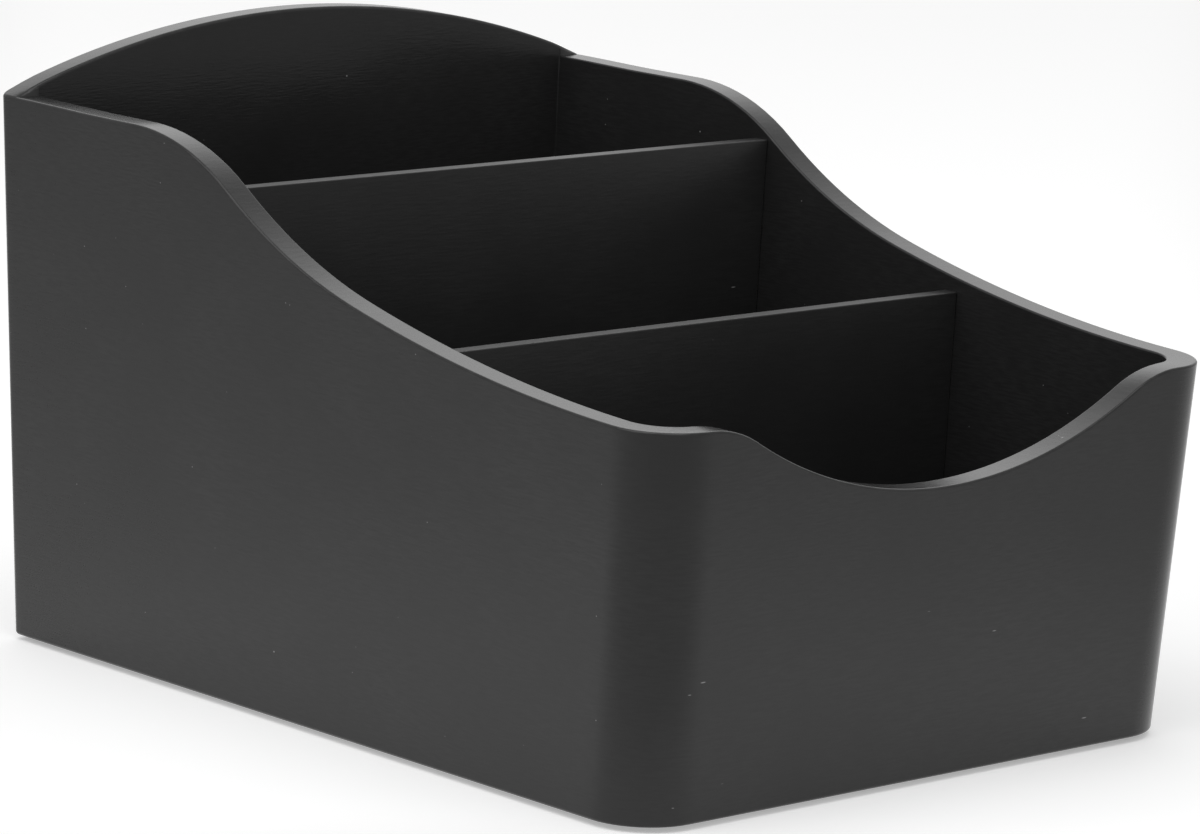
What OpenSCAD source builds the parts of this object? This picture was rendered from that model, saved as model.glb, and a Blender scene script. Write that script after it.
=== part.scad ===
// Countertop holder for sugar packets: a drafted open tub with stepped rims and two lift-out dividers.
// Millimetres, +Z up, front wall toward -Y, origin under the middle of the base at standing level.

/* [Base] */
// Width of the flat base, left to right
base_w = 84; // [64:0.5:130]
// Depth of the flat base, front to back
base_d = 112.25; // [100:0.25:170]
// Thickness of the floor
floor_t = 3; // [2.4:0.1:5]

/* [Walls] */
// Level thickness of the side walls and the front wall
wall = 3.3; // [2:0.1:5]
// Level thickness of the back wall
back_wall = 3.3; // [1.6:0.1:5]
// Outward lean of the side walls, degrees
side_draft = 1.9; // [0.5:0.1:4]
// Outward lean of the front wall, degrees
front_draft = 3.7; // [0.5:0.1:6]
// Backward lean of the back wall, degrees
back_draft = 1.2; // [0.5:0.1:4]
// Radius of the two front corners outside
front_corner_r = 7.6; // [4:0.1:12]
// Radius of the two rear corners outside
rear_corner_r = 1.2; // [0.6:0.1:3]
// Radius of the two front corners inside
front_inner_r = 3; // [1.5:0.1:6]
// Radius of the two rear corners inside
rear_inner_r = 0.8; // [0.6:0.1:3]

/* [Side rims] */
// Height of the level rear part of the side rims above the base
rim_h = 65; // [55:0.5:95]
// Length of that level part, measured from the back face
rim_level = 25.95; // [18:0.05:45]
// Radius of the rounded shoulder where the rim turns down
shoulder_r = 30.5; // [15:0.1:40]
// Steepest slope of the rim, degrees
rim_slope = 34.2; // [22:0.1:40]
// Radius of the hollow sweep below the shoulder
sweep_r = 69; // [40:0.5:90]
// Slope at which the long run to the front begins, degrees
run_slope = 14; // [8:0.1:18]
// Radius of the long run that levels out at the front
run_r = 215; // [120:1:260]

/* [Back crown] */
// Rise of the back wall's crown above the side rims, at the middle
crown_rise = 8.5; // [3:0.1:20]
// Rise of the back wall above the side rims, at the rear corners
crown_end_rise = 0.4; // [0.2:0.1:2]

/* [Finger dip] */
// Depth of the dip below the front rim
dip_depth = 9.9; // [4:0.1:16]
// Level rim left beside the dip, measured from the base corner
dip_margin = 5.8; // [4:0.1:14]
// Radius of the blend from the dip to the level rim
dip_blend_r = 14; // [4:0.1:16]

/* [Dividers] */
// Thickness of the dividers
divider_t = 2; // [1.2:0.1:3]
// Clear depth of the front pocket at the floor
front_pocket = 34; // [24:0.1:45]
// Clear depth of the middle pocket
middle_pocket = 32; // [24:0.1:45]
// Drop of the front divider's top below the rim beside it
front_divider_drop = 1.6; // [0.3:0.1:6]
// Drop of the rear divider's top below the rim beside it
rear_divider_drop = 0.6; // [0.3:0.1:6]
// Gap between a divider's ends and the side walls
divider_gap = 0.25; // [0.15:0.05:0.6]
// Corner cut at a divider's lower ends
divider_chamfer = 1.2; // [0.5:0.1:2]
// Depth of the floor slots that locate the dividers
slot_depth = 1.4; // [0.8:0.1:1.6]
// Play round a divider's tongue in its slot
slot_play = 0.15; // [0.1:0.05:0.3]
// Distance from the floor's edge to the end of a slot
slot_inset = 8; // [4:0.5:16]

/* [Foot pads] */
// Diameter of a foot pad
foot_d = 10; // [6:0.5:14]
// Thickness of a foot pad
foot_t = 1.4; // [1.1:0.1:2]
// Depth of the recess that a foot pad sits in
foot_recess = 0.8; // [0.4:0.1:1]
// Play round a foot pad in its recess
foot_play = 0.2; // [0.1:0.05:0.4]
// Bevel round a foot pad's lower edge
foot_bevel = 0.3; // [0.1:0.05:0.5]
// Distance from a pad's middle to the base's edges
foot_inset = 12; // [9:0.5:22]

/* [Hidden] */
$fn = 96;
// facets of the large arcs of the rims
arc_facets = 360;

// allowance by which a rounding reaches past the faces that it meets
blend_bite = 0.006;
bite_up = [0, blend_bite];
// length by which neighbouring stretches overlap and cuts reach into the open
lap = 2;
overlap = [lap, lap];
// margin by which cutting shapes reach past what they cut
reach = 20;

half_w = base_w / 2;
half_d = base_d / 2;
stand_off = foot_t - foot_recess;
crown_h = rim_h + crown_rise;
cut_h = crown_h + reach;

// lean of a face at height z, as a level distance
function lean(z, draft) = z * tan(draft);
function back_y(z) = half_d + lean(z, back_draft);
function front_y(z) = -half_d - lean(z, front_draft);
function side_x(z) = half_w + lean(z, side_draft);

// side rim in the (y, z) view: points where its arcs join, and the arcs' centres
function toward(a) = [-sin(a), cos(a)];
level_end = [back_y(rim_h) - rim_level, rim_h];
shoulder_c = level_end - [0, shoulder_r];
slope_top = shoulder_c + shoulder_r * toward(rim_slope);
sweep_c = slope_top + sweep_r * toward(rim_slope);
run_start = sweep_c - sweep_r * toward(run_slope);
run_c = run_start + run_r * toward(run_slope);
run_end = run_c - [0, run_r];

// height of the side rim at depth y
function rim_z(y) =
    y > level_end[0] ? rim_h :
    y > slope_top[0] ? shoulder_c[1] + sqrt(pow(shoulder_r, 2) - pow(y - shoulder_c[0], 2)) :
    y > run_start[0] ? sweep_c[1] - sqrt(pow(sweep_r, 2) - pow(y - sweep_c[0], 2)) :
    y > run_end[0] ? run_c[1] - sqrt(pow(run_r, 2) - pow(y - run_c[0], 2)) :
    run_end[1];

// back crown in the (x, z) view
crown_half = side_x(rim_h);
crown_sag = crown_rise - crown_end_rise;
crown_r = (pow(crown_half, 2) + pow(crown_sag, 2)) / (2 * crown_sag);

// finger dip in the (x, z) view, its top a little over the rim
dip_over = 3 * blend_bite;
dip_top = rim_z(front_y(run_end[1]) + wall) + dip_over;
dip_half = half_w - dip_margin;
dip_low = dip_top - dip_depth;
dip_r = (pow(dip_half, 2) + pow(dip_depth, 2) - 2 * dip_blend_r * dip_depth) / (2 * dip_depth);
dip_c = [0, dip_low + dip_r];
blend_c = [dip_half, dip_top - dip_blend_r];
dip_join = dip_c + (blend_c - dip_c) * dip_r / (dip_r + dip_blend_r);

// dividers
front_divider_y = front_y(floor_t) + wall + front_pocket;
rear_divider_y = front_divider_y + divider_t + middle_pocket;
front_divider_h = rim_z(front_divider_y) - front_divider_drop;
rear_divider_h = rim_z(rear_divider_y) - rear_divider_drop;
tongue_half = half_w - wall - slot_inset;
tongue_depth = slot_depth - slot_play;
function divider_half(z) = side_x(z) - wall - divider_gap;

// foot pads
foot_x = half_w - foot_inset;
foot_y = half_d - foot_inset;

plastic = [0.17, 0.17, 0.18];
divider_plastic = [0.13, 0.13, 0.14];
rubber = [0.08, 0.08, 0.08];

// rectangle between two opposite corners
module panel(a, b) {
    translate(a)
        square(b - a);
}

// part of a disc inside the rectangle from a to b
module disc_part(c, r, a, b) {
    intersection() {
        translate(c)
            circle(r = r, $fn = arc_facets);
        panel(a, b);
    }
}

// area under the side rim, in the (y, z) view
module under_rim() {
    back_far = half_d + reach;
    front_far = min(-half_d, run_end[0]) - reach;
    difference() {
        intersection() {
            panel([front_far, -reach], [back_far, rim_h]);
            union() {
                panel([front_far, -reach], [back_far, slope_top[1]]);
                panel([level_end[0], -reach], [back_far, rim_h + lap]);
                disc_part(shoulder_c + bite_up, shoulder_r, slope_top - overlap, level_end + overlap);
            }
        }
        disc_part(sweep_c, sweep_r, run_start - overlap, slope_top + overlap);
        disc_part(run_c + bite_up, run_r, [front_far, run_end[1] - lap], [run_start[0], slope_top[1] + lap]);
        panel([front_far, run_end[1]] + 2 * bite_up, [run_end[0], slope_top[1] + lap]);
    }
}

// side view of the outside, with the back wall carried up past its crown
module side_view() {
    intersection() {
        polygon([[front_y(0), 0], [back_y(0), 0], [back_y(cut_h), cut_h], [front_y(cut_h), cut_h]]);
        union() {
            under_rim();
            polygon([[back_y(0) - back_wall, 0], [back_y(0), 0], [back_y(cut_h), cut_h],
                [back_y(cut_h) - back_wall, cut_h]]);
        }
    }
}

// stands a (y, z) view up and carries it across the width
module across(width) {
    rotate([90, 0, 90])
        linear_extrude(height = width, center = true)
            children();
}

// stands an (x, z) view up and carries it from depth y0 to depth y1
module along(y0, y1) {
    translate([0, y1, 0])
        rotate([90, 0, 0])
            linear_extrude(height = y1 - y0)
                children();
}

// leaning corner column outside its rounding, at side sx and end sy
module corner_trim(x0, y0, r, sx, sy, end_draft) {
    inward = (r - blend_bite) / (1 + sin(side_draft) * sin(end_draft));
    side_n = [sx * cos(side_draft), 0, -sin(side_draft)];
    end_n = [0, sy * cos(end_draft), -sin(end_draft)];
    column = r + lap;
    column_h = cut_h + 2 * reach;
    translate([sx * x0, sy * y0, 0] - inward * (side_n + end_n))
        rotate([-sy * atan(tan(end_draft) * cos(side_draft)), sx * side_draft, 0])
            difference() {
                translate([min(0, sx * column), min(0, sy * column), -reach])
                    cube([column, column, column_h]);
                translate([0, 0, -reach - lap])
                    cylinder(r = r, h = column_h + 2 * lap);
            }
}

module corner_trims(inset, front_r, rear_r, rear_inset) {
    for (sx = [-1, 1]) {
        corner_trim(half_w - inset, half_d - inset, front_r, sx, -1, front_draft);
        corner_trim(half_w - inset, half_d - rear_inset, rear_r, sx, 1, back_draft);
    }
}

module outside() {
    top_x = side_x(cut_h);
    difference() {
        intersection() {
            across(2 * top_x) side_view();
            along(-base_d, base_d)
                polygon([[-half_w, 0], [half_w, 0], [top_x, cut_h], [-top_x, cut_h]]);
            along(-base_d, base_d)
                translate([0, crown_h - crown_r]) circle(r = crown_r, $fn = arc_facets);
        }
        corner_trims(0, front_corner_r, rear_corner_r, 0);
    }
}

module inside() {
    low_x = side_x(floor_t) - wall;
    top_x = side_x(cut_h) - wall;
    difference() {
        intersection() {
            across(2 * top_x)
                polygon([[front_y(floor_t) + wall, floor_t], [back_y(floor_t) - back_wall, floor_t],
                    [back_y(cut_h) - back_wall, cut_h], [front_y(cut_h) + wall, cut_h]]);
            along(-base_d, base_d)
                polygon([[-low_x, floor_t], [low_x, floor_t], [top_x, cut_h], [-top_x, cut_h]]);
        }
        corner_trims(wall, front_inner_r, rear_inner_r, back_wall);
    }
}

// area above the finger dip, in the (x, z) view
module dip_view() {
    disc_part(dip_c - bite_up, dip_r, [-dip_half, dip_low - lap], [dip_half, dip_join[1] + lap]);
    difference() {
        panel([-dip_half, dip_join[1]], [dip_half, dip_top + reach]);
        for (sx = [-1, 1])
            translate([sx * dip_half, dip_top - dip_blend_r])
                circle(r = dip_blend_r, $fn = arc_facets);
    }
}

module floor_slot(y) {
    translate([-tongue_half - slot_play, y - slot_play, floor_t - slot_depth])
        cube([2 * (tongue_half + slot_play), divider_t + 2 * slot_play, slot_depth + lap]);
}

module foot_recesses() {
    for (sx = [-1, 1])
        for (sy = [-1, 1])
            translate([sx * foot_x, sy * foot_y, -lap])
                cylinder(d = foot_d + 2 * foot_play, h = foot_recess + lap);
}

// one-piece tub: floor, four walls, stepped rims, finger dip, slots and pad recesses
module shell() {
    color(plastic)
        translate([0, 0, stand_off])
            difference() {
                outside();
                inside();
                along(-base_d, front_y(0) + wall + lap) dip_view();
                floor_slot(front_divider_y);
                floor_slot(rear_divider_y);
                foot_recesses();
            }
}

// flat panel that stands on the floor, with a tongue in its slot
module divider(y, h) {
    foot_half = divider_half(floor_t) - divider_chamfer;
    side_low = floor_t + divider_chamfer;
    tongue_low = floor_t - tongue_depth;
    right = [[tongue_half, tongue_low], [tongue_half, floor_t], [foot_half, floor_t],
        [divider_half(side_low), side_low], [divider_half(h), h]];
    left = [for (i = [len(right) - 1:-1:0]) [-right[i][0], right[i][1]]];
    color(divider_plastic)
        translate([0, 0, stand_off])
            along(y, y + divider_t)
                polygon(concat(right, left));
}

module front_divider() {
    divider(front_divider_y, front_divider_h);
}

module rear_divider() {
    divider(rear_divider_y, rear_divider_h);
}

// round pad with a bevelled tread, stuck in its recess
module foot(sx, sy) {
    foot_r = foot_d / 2;
    color(rubber)
        translate([sx * foot_x, sy * foot_y, 0])
            rotate_extrude()
                polygon([[0, 0], [foot_r - foot_bevel, 0], [foot_r, foot_bevel], [foot_r, foot_t],
                    [0, foot_t]]);
}

module foot_front_left() {
    foot(-1, -1);
}

module foot_front_right() {
    foot(1, -1);
}

module foot_rear_left() {
    foot(-1, 1);
}

module foot_rear_right() {
    foot(1, 1);
}

shell();
front_divider();
rear_divider();
foot_front_left();
foot_front_right();
foot_rear_left();
foot_rear_right();
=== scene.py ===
import math
from collections import namedtuple

import bmesh
import bpy
from mathutils import Matrix, Vector


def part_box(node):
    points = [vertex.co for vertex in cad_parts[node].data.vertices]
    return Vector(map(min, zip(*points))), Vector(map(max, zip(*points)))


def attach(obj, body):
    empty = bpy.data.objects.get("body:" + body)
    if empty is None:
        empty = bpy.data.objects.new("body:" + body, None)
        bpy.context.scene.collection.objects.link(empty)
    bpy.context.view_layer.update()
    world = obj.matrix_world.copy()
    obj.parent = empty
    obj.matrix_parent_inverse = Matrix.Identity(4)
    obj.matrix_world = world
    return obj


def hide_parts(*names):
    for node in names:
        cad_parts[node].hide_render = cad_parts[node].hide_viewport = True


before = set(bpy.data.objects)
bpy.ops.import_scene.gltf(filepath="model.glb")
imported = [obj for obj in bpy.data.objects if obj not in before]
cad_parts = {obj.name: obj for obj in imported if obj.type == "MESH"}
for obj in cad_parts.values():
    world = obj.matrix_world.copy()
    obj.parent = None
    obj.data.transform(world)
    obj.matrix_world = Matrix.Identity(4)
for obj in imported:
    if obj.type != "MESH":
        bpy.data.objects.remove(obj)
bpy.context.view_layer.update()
bpy.context.scene.view_settings.view_transform = "Standard"

MM = 0.001


def lean(degrees):
    """Level distance that a wall leans for each unit of height."""
    return math.tan(math.radians(degrees))


# Tub sizes as the solids have them, heights measured from the underside of the base
HALF_W = 42 * MM
HALF_D = 56.125 * MM
FLOOR_T = 3 * MM
WALL = 3.3 * MM
BACK_WALL = 3.3 * MM
SIDE_LEAN = lean(1.9)
FRONT_LEAN = lean(3.7)
BACK_LEAN = lean(1.2)
FRONT_R = 7.6 * MM
REAR_R = 1.2 * MM
RIM_H = 65 * MM
RIM_LEVEL = 25.95 * MM
SHOULDER_R = 30.5 * MM
RIM_SLOPE = math.radians(34.2)
SWEEP_R = 69 * MM
RUN_SLOPE = math.radians(14)
RUN_R = 215 * MM
CROWN_RISE = 8.5 * MM
CROWN_END_RISE = 0.4 * MM
DIP_DEPTH = 9.9 * MM
DIP_MARGIN = 5.8 * MM
DIP_BLEND_R = 14 * MM

# Divider and foot sizes as the solids have them
DIVIDER_CHAMFER = 1.2 * MM
SLOT_DEPTH = 1.4 * MM
SLOT_PLAY = 0.15 * MM
SLOT_INSET = 8 * MM
FOOT_PLAY = 0.2 * MM
FOOT_BEVEL = 0.3 * MM

# Sizes that only the dressed part has: edge roundings, inner corners, closer divider ends, and the last
# stretches where the side rims rise and the crown's ends come down to meet
OUTER_EDGE = 0.3 * MM
INNER_EDGE = 0.25 * MM
FRONT_INNER_R = 5 * MM
REAR_INNER_R = 0.15 * MM
DIVIDER_GAP = 0.06 * MM
CROWN_MEET = 0.2 * MM
CROWN_EASE = 5 * MM
RIM_EASE = 16 * MM
CROWN_EDGE = 0.4 * MM
BOTTOM_EDGE = 0.45 * MM
FLOOR_EDGE = 0.8 * MM
DIVIDER_EDGE = 0.15 * MM

# Hollow under each pad, also on the dressed part alone: its depth, its radius as a share of the pad's, and
# its flat middle as a share of itself
DISH_DEPTH = 0.15 * MM
DISH_SHARE = 0.55
DISH_FLAT = 0.6

# Middle point of a pad's bevelled edge, as a share of the bevel
BEVEL_MIDDLE = 0.3

# Steps of each edge rounding, and the bevel profile that makes it an arc
EDGE_STEPS = 4
ROUND_PROFILE = 0.5

# Counts of cross-sections along each stretch of half the tub
FRONT_STEPS = 34
CORNER_STEPS = 12
SIDE_STEPS = 64
REAR_STEPS = 5
BACK_STEPS = 24

# Points round each pad and its recess
FOOT_STEPS = 64

STAND_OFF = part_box("shell")[0].z


# Outline of the tub
def side_x(z):
    return HALF_W + z * SIDE_LEAN


def front_y(z):
    return -HALF_D - z * FRONT_LEAN


def back_y(z):
    return HALF_D + z * BACK_LEAN


def step_off(angle):
    """Direction in the side view, as (depth, height), square to a rim that falls forward at this angle."""
    return Vector((-math.sin(angle), math.cos(angle)))


LEVEL_END = Vector((back_y(RIM_H) - RIM_LEVEL, RIM_H))
SHOULDER_C = LEVEL_END - Vector((0, SHOULDER_R))
SLOPE_TOP = SHOULDER_C + SHOULDER_R * step_off(RIM_SLOPE)
SWEEP_C = SLOPE_TOP + SWEEP_R * step_off(RIM_SLOPE)
RUN_START = SWEEP_C - SWEEP_R * step_off(RUN_SLOPE)
RUN_C = RUN_START + RUN_R * step_off(RUN_SLOPE)
RUN_END = RUN_C - Vector((0, RUN_R))


def rim_z(y):
    """Height of the side rims at depth y."""
    if y > LEVEL_END.x:
        return RIM_H
    if y > SLOPE_TOP.x:
        return SHOULDER_C.y + math.sqrt(SHOULDER_R**2 - (y - SHOULDER_C.x) ** 2)
    if y > RUN_START.x:
        return SWEEP_C.y - math.sqrt(SWEEP_R**2 - (y - SWEEP_C.x) ** 2)
    if y > RUN_END.x:
        return RUN_C.y - math.sqrt(RUN_R**2 - (y - RUN_C.x) ** 2)
    return RUN_END.y


CROWN_SAG = CROWN_RISE - CROWN_END_RISE
CROWN_R = (side_x(RIM_H) ** 2 + CROWN_SAG**2) / (2 * CROWN_SAG)


def crown_z(x):
    """Height of the back wall at x."""
    return RIM_H + CROWN_RISE - CROWN_R + math.sqrt(CROWN_R**2 - x**2)


DIP_TOP = rim_z(front_y(RUN_END.y) + WALL)
DIP_HALF = HALF_W - DIP_MARGIN
DIP_R = (DIP_HALF**2 + DIP_DEPTH**2 - 2 * DIP_BLEND_R * DIP_DEPTH) / (2 * DIP_DEPTH)
DIP_JOIN = DIP_HALF * DIP_R / (DIP_R + DIP_BLEND_R)


def dip_z(x):
    """Height of the finger dip's edge at x, endless beside the dip."""
    x = abs(x)
    if x >= DIP_HALF:
        return math.inf
    if x <= DIP_JOIN:
        return DIP_TOP - DIP_DEPTH + DIP_R - math.sqrt(DIP_R**2 - x**2)
    return DIP_TOP - DIP_BLEND_R + math.sqrt(DIP_BLEND_R**2 - (DIP_HALF - x) ** 2)


# A cross-section of the wall: plan paths of its outer and inner face by height, level directions from
# those faces toward the pocket, the rim's height at a plan point before its edges are rounded, the inner
# rim edge's radius, and the height that the inner rounding stops at, which only the crown's sections have
Station = namedtuple("Station", "outer inner outer_in inner_in top inner_edge foot")
TO_BACK = Vector((0, 1, 0))
TO_LEFT = Vector((-1, 0, 0))
TO_FRONT = Vector((0, -1, 0))
CROWN_FOOT = RIM_H + CROWN_MEET


def mix(a, b, t):
    return a + (b - a) * t


def ease(t):
    """Smooth rise from 0 to 1, held at its ends."""
    t = min(max(t, 0), 1)
    return t * t * (3 - 2 * t)


def side_top(x, y):
    return rim_z(y) + CROWN_MEET * ease((y - back_inner_y(RIM_H)) / RIM_EASE + 1)


def front_top(x, y):
    return min(rim_z(y), dip_z(x))


def back_top(x, y):
    return crown_z(x) - (CROWN_END_RISE - CROWN_MEET) * ease((abs(x) - side_x(RIM_H)) / CROWN_EASE + 1)


def front_station(t):
    """Front wall, from its middle at t = 0 to its corner at 1."""
    return Station(
        lambda z: (t * (side_x(z) - FRONT_R), front_y(z)),
        lambda z: (t * (side_x(z) - WALL - FRONT_INNER_R), front_y(z) + WALL),
        TO_BACK, TO_BACK, front_top, INNER_EDGE, 0,
    )


def front_corner_station(t):
    """Right front corner, from the front wall to the side wall."""
    turn = (t - 1) * math.pi / 2
    c = math.cos(turn)
    s = math.sin(turn)
    inset = WALL + FRONT_INNER_R
    inward = Vector((-c, -s, 0))
    return Station(
        lambda z: (side_x(z) - FRONT_R * (1 - c), front_y(z) + FRONT_R * (1 + s)),
        lambda z: (side_x(z) - inset + FRONT_INNER_R * c, front_y(z) + inset + FRONT_INNER_R * s),
        inward, inward, front_top, INNER_EDGE, 0,
    )


def back_inner_y(z):
    return back_y(z) - BACK_WALL


def side_station(t):
    """Right wall, from the front corner to the line where the crown rises from the rim."""
    return Station(
        lambda z: (side_x(z), mix(front_y(z) + FRONT_R, back_inner_y(z), t)),
        lambda z: (
            side_x(z) - WALL,
            mix(front_y(z) + WALL + FRONT_INNER_R, back_inner_y(z) - REAR_INNER_R, t),
        ),
        TO_LEFT, TO_LEFT, side_top, INNER_EDGE, 0,
    )


# Length of the back wall's inner face, from the inner corner, that faces the rear corner's outer rounding
CORNER_RUN = 1.7 * MM


def crown_inner(run):
    """Path up the back wall's inner face at this distance from the inner corner."""
    return lambda z: (side_x(z) - WALL - REAR_INNER_R - run, back_inner_y(z))


# Distances behind the crown's front face, on the outer side face, of the sections round the inner corner
CROWN_STEPS = (0.02 * MM, 0.1 * MM, 0.4 * MM, 1.2 * MM)


def rear_inner_station(i):
    """Rear corner's inner rounding, beside the outer side face up to the rear corner's outer rounding."""
    turn = (i + 1) / (len(CROWN_STEPS) + 1) * math.pi / 2
    c = math.cos(turn)
    s = math.sin(turn)
    return Station(
        lambda z: (side_x(z), back_inner_y(z) + CROWN_STEPS[i]),
        lambda z: (side_x(z) - WALL - REAR_INNER_R * (1 - c), back_inner_y(z) - REAR_INNER_R * (1 - s)),
        TO_LEFT, Vector((-c, -s, 0)), back_top, CROWN_EDGE, CROWN_FOOT,
    )


def rear_outer_station(t):
    """Rear corner's outer rounding, from the side wall to the back wall."""
    c = math.cos(t * math.pi / 2)
    s = math.sin(t * math.pi / 2)
    return Station(
        lambda z: (side_x(z) - REAR_R * (1 - c), back_y(z) - REAR_R * (1 - s)),
        crown_inner(CORNER_RUN * t),
        Vector((-c, -s, 0)), TO_FRONT, back_top, CROWN_EDGE, CROWN_FOOT,
    )


def back_station(t):
    """Back wall, from its corner to its middle at t = 1."""
    inner = crown_inner(CORNER_RUN)
    return Station(
        lambda z: ((1 - t) * (side_x(z) - REAR_R), back_y(z)),
        lambda z: ((1 - t) * inner(z)[0], inner(z)[1]),
        TO_FRONT, TO_FRONT, back_top, CROWN_EDGE, CROWN_FOOT,
    )


def half_stations():
    """Cross-sections from the middle of the front round the right side to the middle of the back."""
    stations = [front_station(i / FRONT_STEPS) for i in range(FRONT_STEPS)]
    stations += [front_corner_station(i / CORNER_STEPS) for i in range(CORNER_STEPS)]
    stations += [side_station(i / SIDE_STEPS) for i in range(SIDE_STEPS + 1)]
    stations += [rear_inner_station(i) for i in range(len(CROWN_STEPS))]
    stations += [rear_outer_station(i / REAR_STEPS) for i in range(REAR_STEPS)]
    stations += [back_station(i / BACK_STEPS) for i in range(BACK_STEPS + 1)]
    return stations


# Rounds that settle the height of a rim point
SETTLE_ROUNDS = 12
# Largest shares of a section's width that the points of its two rim edges spread over
OUTER_SHARE = 0.4
INNER_SHARE = 0.55
# Smallest slant that an edge's spread is divided by
LEAST_SLANT = 0.001


def point(path, z):
    x, y = path(z)
    return Vector((x, y, z))


def rim_point(path, top):
    """Where a wall face meets the rim."""
    z = RIM_H
    for _ in range(SETTLE_ROUNDS):
        z = top(*path(z))
    return point(path, z)


def drop(distance, radius):
    """How far a rounded edge has fallen at this distance from its wall face."""
    if distance >= radius:
        return 0.0
    return radius - math.sqrt(radius**2 - (radius - max(distance, 0)) ** 2)


def edge_spots(radius, share, across, inward):
    """Shares of the way across a section, from one face, where that face's rim edge has points."""
    slant = max(across.normalized().dot(inward), LEAST_SLANT)
    spread = min(radius / slant / across.length, share)
    return [spread * (1 - math.cos(math.pi / 2 * i / EDGE_STEPS)) for i in range(EDGE_STEPS + 1)]


def rim_points(station):
    """Points over the rim, from the outer face to the inner face.

    The crown's inner edge is rounded along the crown's front face, straight on through the rear corners.
    """
    outer = rim_point(station.outer, station.top)
    inner = rim_point(station.inner, station.top)
    across = (inner - outer) * Vector((1, 1, 0))
    spots = edge_spots(OUTER_EDGE, OUTER_SHARE, across, station.outer_in)
    edge_in = TO_FRONT if station.foot else station.inner_in
    spots += [1 - q for q in reversed(edge_spots(station.inner_edge, INNER_SHARE, across, edge_in))]
    points = []
    for q in spots:
        spot = mix(outer, inner, q)
        from_outer = (spot - outer).dot(station.outer_in)
        if station.foot:
            from_inner = spot.y - back_inner_y(spot.z)
        else:
            from_inner = (inner - spot).dot(edge_in)
        z = station.top(spot.x, spot.y) - drop(from_inner, station.inner_edge)
        spot.z = max(z, station.foot) - drop(from_outer, OUTER_EDGE)
        points.append(spot)
    points[0] = point(station.outer, points[0].z)
    points[-1] = point(station.inner, points[-1].z)
    return points


def rounding(corner, toward_a, toward_b, radius):
    """Points of an arc that rounds the corner between two directions."""
    half = toward_a.angle(toward_b) / 2
    centre = corner + (toward_a + toward_b).normalized() * (radius / math.sin(half))
    reach = radius / math.tan(half)
    first = (corner + toward_a * reach - centre).normalized()
    last = (corner + toward_b * reach - centre).normalized()
    return [centre + first.slerp(last, i / EDGE_STEPS).normalized() * radius for i in range(EDGE_STEPS + 1)]


def section(station):
    """Cross-section points from the underside, over the rim, to the floor."""
    over = rim_points(station)
    outer_low = point(station.outer, 0)
    inner_low = point(station.inner, FLOOR_T)
    outer_up = (over[0] - outer_low).normalized()
    inner_up = (over[-1] - inner_low).normalized()
    return (
        rounding(outer_low, station.outer_in, outer_up, BOTTOM_EDGE)
        + over
        + rounding(inner_low, inner_up, station.inner_in, FLOOR_EDGE)
    )


# Mesh helpers
SHARP = math.radians(40)
# Faces smaller than this are parts of edge roundings, where the colour is lightened as a painted highlight
# and the roughness is lower
EDGE_FACE = 1.2 * MM**2
ROUNDED_EDGE_MASK = "rounded_edge"


def finish_piece(bm, name, material, body, node):
    """Turns a closed mesh into a piece that stands for a CAD node."""
    bmesh.ops.recalc_face_normals(bm, faces=bm.faces)
    for face in bm.faces:
        face.smooth = True
    for edge in bm.edges:
        edge.smooth = edge.calc_face_angle(0) < SHARP
    # Marks the vertices of edge roundings, which the plastic lightens with a painted highlight
    rounded_edge_layer = bm.verts.layers.float.new(ROUNDED_EDGE_MASK)
    for vert in bm.verts:
        vert[rounded_edge_layer] = float(max(face.calc_area() for face in vert.link_faces) < EDGE_FACE)
    mesh = bpy.data.meshes.new(name)
    bm.to_mesh(mesh)
    bm.free()
    mesh.materials.append(material)
    piece = bpy.data.objects.new(name, mesh)
    bpy.context.scene.collection.objects.link(piece)
    normals = piece.modifiers.new("even_normals", "WEIGHTED_NORMAL")
    normals.keep_sharp = True
    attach(piece, body)
    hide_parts(node)


def ring(bm, points):
    return [bm.verts.new(p) for p in points]


def bridge(bm, first, second):
    """Quads between two closed rings with the same count."""
    count = len(first)
    for i in range(count):
        j = (i + 1) % count
        bm.faces.new((first[i], first[j], second[j], second[i]))


def ring_edges(bm, verts):
    return [bm.edges.get((verts[i - 1], verts[i])) for i in range(len(verts))]


def fill(bm, rings):
    """Flat face inside the first ring, with the other rings as holes."""
    edges = [edge for verts in rings for edge in ring_edges(bm, verts)]
    bmesh.ops.triangle_fill(bm, use_beauty=True, edges=edges)


def sunk_pocket(bm, mouth, depth):
    """Walls and end of a blind pocket behind a ring of points; returns the ring at its mouth."""
    outline = ring(bm, mouth)
    end = ring(bm, [p + Vector((0, 0, depth)) for p in mouth])
    bridge(bm, outline, end)
    bm.faces.new(end)
    return outline


def circle(centre, radius, z):
    turns = [2 * math.pi * i / FOOT_STEPS for i in range(FOOT_STEPS)]
    return [Vector((centre.x + radius * math.cos(a), centre.y + radius * math.sin(a), z)) for a in turns]


TONGUE_HALF = HALF_W - WALL - SLOT_INSET
FEET = ("foot_front_left", "foot_front_right", "foot_rear_left", "foot_rear_right")
DIVIDERS = {"front_divider": "front_panel", "rear_divider": "rear_panel"}


def slot_mouth(node):
    """Corners of the floor slot under a divider."""
    low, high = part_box(node)
    x = TONGUE_HALF + SLOT_PLAY
    y0 = low.y - SLOT_PLAY
    y1 = high.y + SLOT_PLAY
    return [Vector((sx, y, FLOOR_T)) for sx, y in ((-x, y0), (x, y0), (x, y1), (-x, y1))]


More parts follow.
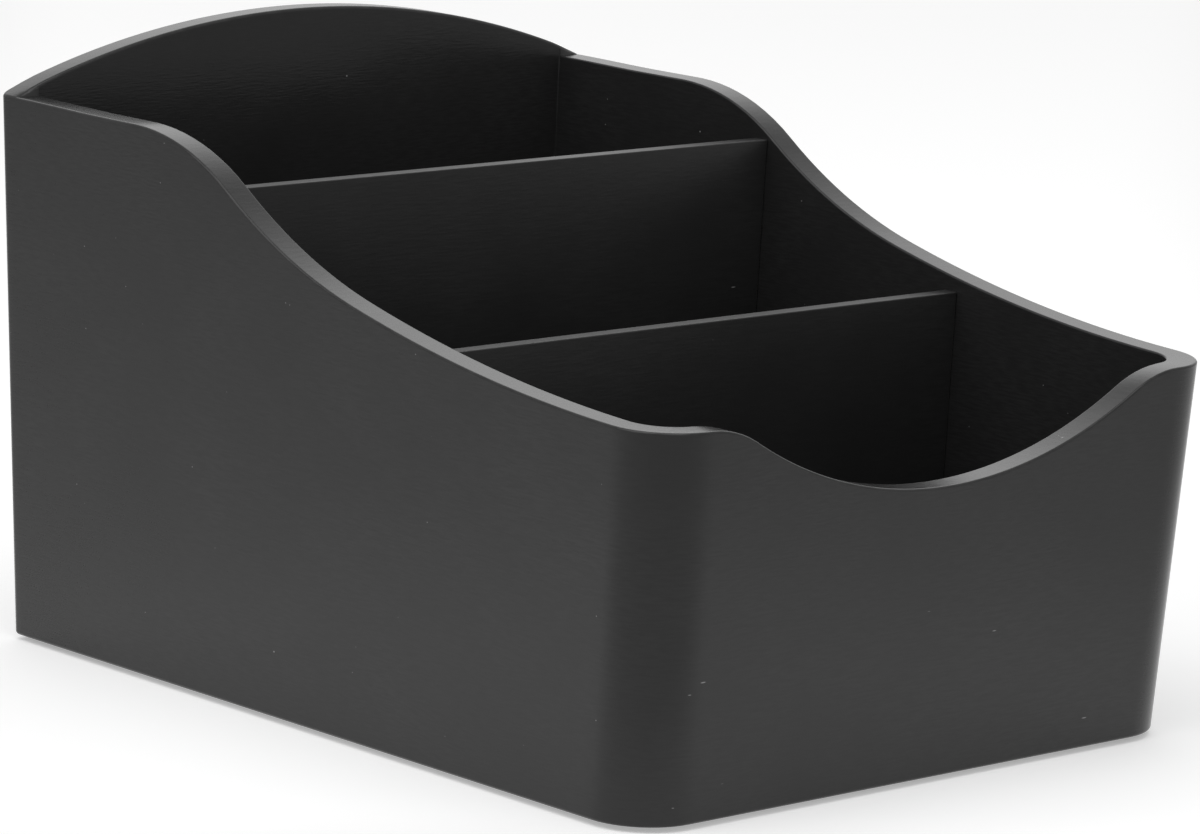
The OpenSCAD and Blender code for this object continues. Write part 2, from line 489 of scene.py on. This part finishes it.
def build_shell(material):
    bm = bmesh.new()
    half = [section(s) for s in half_stations()]
    mirror = Matrix.Scale(-1, 3, Vector((1, 0, 0)))
    other = [[mirror @ p for p in points] for points in half[-2:0:-1]]
    loops = list(zip(*(half + other)))
    rings = [ring(bm, loop) for loop in loops]
    for first, second in zip(rings, rings[1:]):
        bridge(bm, first, second)
    slots = [sunk_pocket(bm, slot_mouth(node), -SLOT_DEPTH) for node in DIVIDERS]
    fill(bm, [rings[-1]] + slots)
    recesses = []
    for node in FEET:
        low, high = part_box(node)
        radius = (high.x - low.x) / 2 + FOOT_PLAY
        depth = high.z - STAND_OFF
        recesses.append(sunk_pocket(bm, circle((low + high) / 2, radius, 0), depth))
    fill(bm, [rings[0]] + recesses)
    bmesh.ops.translate(bm, verts=bm.verts, vec=Vector((0, 0, STAND_OFF)))
    finish_piece(bm, "tub", material, "tub", "shell")


def build_divider(node, body, material):
    """Panel with a tongue below, rounded along all its edges."""
    low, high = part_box(node)
    floor_z = STAND_OFF + FLOOR_T

    def half_at(z):
        return side_x(z - STAND_OFF) - WALL - DIVIDER_GAP

    side_low = floor_z + DIVIDER_CHAMFER
    right = [
        (TONGUE_HALF, low.z), (TONGUE_HALF, floor_z), (half_at(floor_z) - DIVIDER_CHAMFER, floor_z),
        (half_at(side_low), side_low), (half_at(high.z), high.z),
    ]
    outline = right + [(-x, z) for x, z in reversed(right)]
    bm = bmesh.new()
    front = ring(bm, [Vector((x, low.y, z)) for x, z in outline])
    back = ring(bm, [Vector((x, high.y, z)) for x, z in outline])
    bridge(bm, front, back)
    bm.faces.new(front)
    bm.faces.new(back)
    bmesh.ops.recalc_face_normals(bm, faces=bm.faces)
    bmesh.ops.bevel(
        bm, geom=list(bm.edges), offset=DIVIDER_EDGE, segments=EDGE_STEPS, profile=ROUND_PROFILE,
        affect="EDGES", clamp_overlap=True,
    )
    finish_piece(bm, node + "_panel", material, body, node)


def build_foot(node, material):
    """Round pad with a softened tread edge, hollowed a little in the middle of the tread."""
    low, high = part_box(node)
    centre = (low + high) / 2
    radius = (high.x - low.x) / 2
    dish_r = radius * DISH_SHARE
    middle = FOOT_BEVEL * BEVEL_MIDDLE
    profile = [
        (dish_r * DISH_FLAT, DISH_DEPTH), (dish_r, 0), (radius - FOOT_BEVEL, 0),
        (radius - middle, middle), (radius, FOOT_BEVEL), (radius, high.z - low.z),
    ]
    bm = bmesh.new()
    rings = [ring(bm, circle(centre, r, low.z + z)) for r, z in profile]
    for first, second in zip(rings, rings[1:]):
        bridge(bm, first, second)
    bm.faces.new(rings[0])
    bm.faces.new(rings[-1])
    finish_piece(bm, node + "_pad", material, "tub", node)


# Materials
SPECULAR = 0.35
SURFACE_IOR = 1.5

# Cloudy patterns, sized in cells a metre; the streaks take their size from STREAK_CELLS, wide and low
Noise = namedtuple("Noise", "cells detail roughness")
GRAIN = Noise(2600.0, 2.0, 0.55)
CLOUD = Noise(45.0, 4.0, 0.6)
PATCHES = Noise(420.0, 3.0, 0.6)
PEBBLES = Noise(1800.0, 3.0, 0.6)
STREAKS = Noise(1.0, 2.0, 0.5)
STREAK_CELLS = (500.0, 500.0, 4200.0)

# Heights of the patterns in relief
GRAIN_HEIGHT = 0.004 * MM
STREAK_HEIGHT = 0.012 * MM
PEBBLE_HEIGHT = 0.04 * MM

# Spreads: the two pattern values that each runs between, then what it gives there
# Patchy mask on rounded edges for a painted highlight and a lower roughness
HIGHLIGHT_AND_POLISH_SPREAD = (0.4, 0.65, 0.15, 1.0)
STREAK_SPREAD = (0.35, 0.65, 0.0, 1.0)
STREAK_STRENGTH = (0.35, 0.65, 0.1, 0.5)
PEBBLE_SPREAD = (0.3, 0.7, 0.7, 0.9)

# Greys in the plastic, as shares of its own level
TONE_DARK = 0.88
TONE_LIGHT = 1.12
STREAK_LIGHT = 1.7
# Lighter grey on rounded edges, a painted highlight
EDGE_HIGHLIGHT_LIGHT = 1.8

# Roughness: the cloud values that it changes between, its change either way, and its loss on rounded edges
SHEEN_VALUES = (0.3, 0.7)
SHEEN_CHANGE = 0.02
EDGE_POLISH = 0.05

# Dust: each lattice's turn and cells a metre, a fleck's size in its cell, and the share of cells with one
Fleck = namedtuple("Fleck", "turn cells size share")
SPECKS = Fleck((0.7, 0.25, 0.4), (400.0, 400.0, 400.0), 0.05, 0.03)
LINT = Fleck((0.9, 0.4, 0.7), (160.0, 900.0, 900.0), 0.07, 0.05)
# Full core of a fleck as a share of its size, and its grey
FLECK_CORE = 0.5
FLECK_LEVEL = 0.3

# Greys in the rubber
RUBBER_DARK = 0.012
RUBBER_LIGHT = 0.022


class Nodes:
    """Short way to add and link shader nodes in one tree."""

    def __init__(self, tree):
        self.tree = tree
        tree.nodes.clear()

    def add(self, kind, settings=None, **inputs):
        made = self.tree.nodes.new(kind)
        for key, value in (settings or {}).items():
            setattr(made, key, value)
        for key, value in inputs.items():
            self.put(made.inputs[key.replace("_", " ")], value)
        return made

    def put(self, socket, value):
        if isinstance(value, bpy.types.NodeSocket):
            self.tree.links.new(value, socket)
        else:
            socket.default_value = value

    def math(self, operation, a, b=0.0, c=0.0):
        made = self.tree.nodes.new("ShaderNodeMath")
        made.operation = operation
        for socket, value in zip(made.inputs, (a, b, c)):
            self.put(socket, value)
        return made.outputs[0]

    def spread(self, value, low, high, to_low, to_high):
        """Value from a range mapped to another range, held at its ends."""
        made = self.add(
            "ShaderNodeMapRange", Value=value, From_Min=low, From_Max=high, To_Min=to_low, To_Max=to_high
        )
        return made.outputs["Result"]

    def fade(self, value, low, high):
        """Smooth rise from 0 at low to 1 at high."""
        smooth = {"interpolation_type": "SMOOTHSTEP"}
        made = self.add("ShaderNodeMapRange", smooth, Value=value, From_Min=low, From_Max=high)
        return made.outputs["Result"]

    def along(self, vector, toward):
        """Length of a vector along a direction."""
        made = self.tree.nodes.new("ShaderNodeVectorMath")
        made.operation = "DOT_PRODUCT"
        self.put(made.inputs[0], vector)
        self.put(made.inputs[1], toward)
        return made.outputs["Value"]

    def blend(self, factor, a, b):
        made = self.tree.nodes.new("ShaderNodeMix")
        made.data_type = "RGBA"
        colours = [s for s in made.inputs if s.type == "RGBA"]
        self.put(made.inputs[0], factor)
        self.put(colours[0], a)
        self.put(colours[1], b)
        return [s for s in made.outputs if s.type == "RGBA"][0]


def grey(level):
    return (level, level, level, 1)


def new_material(name):
    """Empty material and a way to add its nodes."""
    material = bpy.data.materials.new(name)
    material.use_nodes = True
    return material, Nodes(material.node_tree)


def cloudy(n, place, kind):
    """Value of a noise pattern."""
    made = n.add(
        "ShaderNodeTexNoise", Vector=place, Scale=kind.cells, Detail=kind.detail, Roughness=kind.roughness
    )
    return made.outputs["Fac"]


def flecks(n, place, kind, dust):
    """Mask of sparse flecks in some cells of a turned lattice."""
    laid = n.add("ShaderNodeMapping", Vector=place, Rotation=kind.turn, Scale=kind.cells)
    cell = n.add("ShaderNodeTexVoronoi", Vector=laid.outputs["Vector"], Scale=1.0)
    core = n.spread(cell.outputs["Distance"], kind.size * FLECK_CORE, kind.size, 1.0, 0.0)
    draw = n.add("ShaderNodeSeparateColor", Color=cell.outputs["Color"]).outputs["Red"]
    return n.math("MULTIPLY", core, n.math("GREATER_THAN", draw, 1 - kind.share * dust))


def moulded(name, level, roughness, dust):
    """Satin moulded plastic: fine grain, uneven sheen, rounded edges with a painted highlight and lower
    roughness, sparse dust and lint.
    """
    material, n = new_material(name)
    place = n.add("ShaderNodeTexCoord").outputs["Object"]
    grain = cloudy(n, place, GRAIN)
    cloud = cloudy(n, place, CLOUD)
    edge = n.add("ShaderNodeAttribute", {"attribute_name": ROUNDED_EDGE_MASK}).outputs["Fac"]
    # Patchy mask on rounded edges: a painted highlight in the colour and a lower roughness
    edge_highlight_and_polish = n.math("MULTIPLY", edge, n.spread(cloudy(n, place, PATCHES), *HIGHLIGHT_AND_POLISH_SPREAD))
    laid = n.add("ShaderNodeMapping", Vector=place, Scale=STREAK_CELLS)
    streaks = cloudy(n, laid.outputs["Vector"], STREAKS)
    dusty = n.math("MAXIMUM", flecks(n, place, SPECKS, dust), flecks(n, place, LINT, dust))
    tone = n.blend(cloud, grey(level * TONE_DARK), grey(level * TONE_LIGHT))
    drawn = n.math("MULTIPLY", n.spread(streaks, *STREAK_SPREAD), n.spread(cloud, *STREAK_STRENGTH))
    lined = n.blend(drawn, tone, grey(level * STREAK_LIGHT))
    # Rounded edges lightened, a painted highlight
    edge_highlighted = n.blend(edge_highlight_and_polish, lined, grey(level * EDGE_HIGHLIGHT_LIGHT))
    colour = n.blend(dusty, edge_highlighted, grey(FLECK_LEVEL))
    sheen = n.spread(cloud, *SHEEN_VALUES, roughness - SHEEN_CHANGE, roughness + SHEEN_CHANGE)
    sheen = n.math("MULTIPLY_ADD", edge_highlight_and_polish, -EDGE_POLISH, sheen)
    flow = n.add("ShaderNodeBump", Height=streaks, Strength=1.0, Distance=STREAK_HEIGHT)
    bump = n.add(
        "ShaderNodeBump", Height=grain, Strength=1.0, Distance=GRAIN_HEIGHT, Normal=flow.outputs["Normal"]
    )
    shader = n.add(
        "ShaderNodeBsdfPrincipled", Base_Color=colour, Roughness=sheen, IOR=SURFACE_IOR,
        Specular_IOR_Level=SPECULAR, Normal=bump.outputs["Normal"],
    )
    n.add("ShaderNodeOutputMaterial", Surface=shader.outputs["BSDF"])
    return material


def soft_rubber(name):
    """Matt black rubber with a pebbled skin."""
    material, n = new_material(name)
    place = n.add("ShaderNodeTexCoord").outputs["Object"]
    pebbles = cloudy(n, place, PEBBLES)
    colour = n.blend(pebbles, grey(RUBBER_DARK), grey(RUBBER_LIGHT))
    rough = n.spread(pebbles, *PEBBLE_SPREAD)
    bump = n.add("ShaderNodeBump", Height=pebbles, Strength=1.0, Distance=PEBBLE_HEIGHT)
    shader = n.add(
        "ShaderNodeBsdfPrincipled", Base_Color=colour, Roughness=rough, IOR=SURFACE_IOR,
        Normal=bump.outputs["Normal"],
    )
    n.add("ShaderNodeOutputMaterial", Surface=shader.outputs["BSDF"])
    return material


# Camera at the photograph's angle, its picture 1200 pixels wide
IMAGE_W = 1200
FOCAL_PIXELS = 5753
SENSOR_MM = 36
CAM_TARGET = Vector((0.64, -0.545, 32.18)) * MM
CAM_DISTANCE = 671.43 * MM
CAM_AZIMUTH = math.radians(-42.047)
CAM_ELEVATION = math.radians(10.859)
CAM_ROLL = math.radians(2.061)

data = bpy.data.cameras.new("camera")
data.sensor_width = SENSOR_MM
data.lens = FOCAL_PIXELS * SENSOR_MM / IMAGE_W
camera = bpy.data.objects.new("camera", data)
bpy.context.scene.collection.objects.link(camera)
bpy.context.scene.camera = camera
cam_back = Vector((
    math.sin(CAM_AZIMUTH) * math.cos(CAM_ELEVATION),
    -math.cos(CAM_AZIMUTH) * math.cos(CAM_ELEVATION),
    math.sin(CAM_ELEVATION),
))
level_right = Vector((math.cos(CAM_AZIMUTH), math.sin(CAM_AZIMUTH), 0))
level_up = cam_back.cross(level_right)
cam_right = level_right * math.cos(CAM_ROLL) + level_up * math.sin(CAM_ROLL)
cam_up = cam_back.cross(cam_right)
camera.matrix_world = Matrix.Translation(CAM_TARGET + cam_back * CAM_DISTANCE) @ Matrix(
    (cam_right, cam_up, cam_back)
).transposed().to_4x4()

# Pieces
shell_plastic = moulded("shell_plastic", level=0.019, roughness=0.2, dust=1.0)
divider_plastic = moulded("divider_plastic", level=0.019, roughness=0.36, dust=0.6)
foot_rubber = soft_rubber("foot_rubber")
build_shell(shell_plastic)
for divider_node, divider_body in DIVIDERS.items():
    build_divider(divider_node, divider_body, divider_plastic)
for foot_node in FEET:
    build_foot(foot_node, foot_rubber)

# Studio directions, as the camera sees them
UP = Vector((0, 0, 1))
rearward = Vector((-cam_back.x, -cam_back.y, 0)).normalized()

# Floor: white paper under and behind the object, pale grey farther out, that keeps the shadow, with a glow
# near the object that whitens the background and is a painted pool of light in reflections.
# Each pair of distances from the object's middle runs from where a fade starts to where it is full.
FLOOR_HALF = 4.0
FLOOR_CELLS = 8
FLOOR_LEVEL = 0.6
PAPER_LEVEL = 0.82
PAPER_FRONT = (-0.21, -0.07)
PAPER_SIDE = (0.45, 0.12)
# Glow near the object seen by camera, glossy and transmission rays: it whitens the background and is a
# painted pool of light in reflections
WHITE_AND_POOL_GLOW = 0.37
POOL_GLOW_FRONT = (-0.11, -0.058)
POOL_GLOW_SIDE = (0.17, 0.04)
REAR_FLARE = 0.12
floor_bm = bmesh.new()
bmesh.ops.create_grid(floor_bm, x_segments=FLOOR_CELLS, y_segments=FLOOR_CELLS, size=FLOOR_HALF)
floor_mesh = bpy.data.meshes.new("floor")
floor_bm.to_mesh(floor_mesh)
floor_bm.free()
floor = bpy.data.objects.new("floor", floor_mesh)
bpy.context.scene.collection.objects.link(floor)
floor_material, n = new_material("floor")
spot = n.add("ShaderNodeTexCoord").outputs["Object"]
rear = n.along(spot, rearward)
flare = n.math("MULTIPLY", n.math("MAXIMUM", rear, 0.0), REAR_FLARE)
aside = n.math("SUBTRACT", n.math("ABSOLUTE", n.along(spot, level_right)), flare)
paper = n.math("MULTIPLY", n.fade(rear, *PAPER_FRONT), n.fade(aside, *PAPER_SIDE))
# Mask of the glow near the object, a painted pool of light
white_and_pool_glow = n.math("MULTIPLY", n.fade(rear, *POOL_GLOW_FRONT), n.fade(aside, *POOL_GLOW_SIDE))
path = n.add("ShaderNodeLightPath")
seen = n.math("ADD", path.outputs["Is Camera Ray"], path.outputs["Is Glossy Ray"])
seen = n.math("ADD", seen, path.outputs["Is Transmission Ray"])
lift_level = n.math("MULTIPLY", seen, n.math("MULTIPLY", white_and_pool_glow, WHITE_AND_POOL_GLOW))
lift = n.add("ShaderNodeEmission", Color=grey(1), Strength=lift_level)
matt = n.add("ShaderNodeBsdfDiffuse", Color=n.blend(paper, grey(FLOOR_LEVEL), grey(PAPER_LEVEL)))
both = n.tree.nodes.new("ShaderNodeAddShader")
n.put(both.inputs[0], matt.outputs["BSDF"])
n.put(both.inputs[1], lift.outputs["Emission"])
n.add("ShaderNodeOutputMaterial", Surface=both.outputs[0])
floor_mesh.materials.append(floor_material)

# World: even light with soft glows behind the object
WORLD_EVEN = 0.54
Glow = namedtuple("Glow", "turn tilt narrowness strength")
GLOWS = (Glow(0, 6, 14, 0.15), Glow(0, 35, 14, 1.09))
world = bpy.data.worlds.new("studio")
bpy.context.scene.world = world
world.use_nodes = True
n = Nodes(world.node_tree)
direction = n.add("ShaderNodeTexCoord").outputs["Generated"]
strength = WORLD_EVEN
for glow in GLOWS:
    turn = math.radians(glow.turn)
    tilt = math.radians(glow.tilt)
    level = rearward * math.cos(turn) + level_right * math.sin(turn)
    facing = n.along(direction, level * math.cos(tilt) + UP * math.sin(tilt))
    bright = n.math("POWER", n.math("MAXIMUM", facing, 0.0), glow.narrowness)
    strength = n.math("MULTIPLY_ADD", bright, glow.strength, strength)
background = n.add("ShaderNodeBackground", Color=grey(1), Strength=strength)
n.add("ShaderNodeOutputWorld", Surface=background.outputs["Background"])

# Softboxes: square lights that face the object, placed to the right, behind and above as the camera sees it
Softbox = namedtuple("Softbox", "name right rear height size radiance")
SOFTBOXES = (
    Softbox("key_softbox", -0.5, -0.3, 0.65, 0.6, 1.18),
    Softbox("top_softbox", 0.0, -0.2, 0.6, 0.5, 1.46),
)
AIM_HEIGHT = 0.03
for box in SOFTBOXES:
    light = bpy.data.lights.new(box.name, "AREA")
    light.size = box.size
    light.energy = box.radiance * math.pi * box.size**2
    lamp = bpy.data.objects.new(box.name, light)
    bpy.context.scene.collection.objects.link(lamp)
    lamp.location = level_right * box.right + rearward * box.rear + UP * box.height
    lamp.rotation_euler = (UP * AIM_HEIGHT - lamp.location).to_track_quat("-Z", "Y").to_euler()
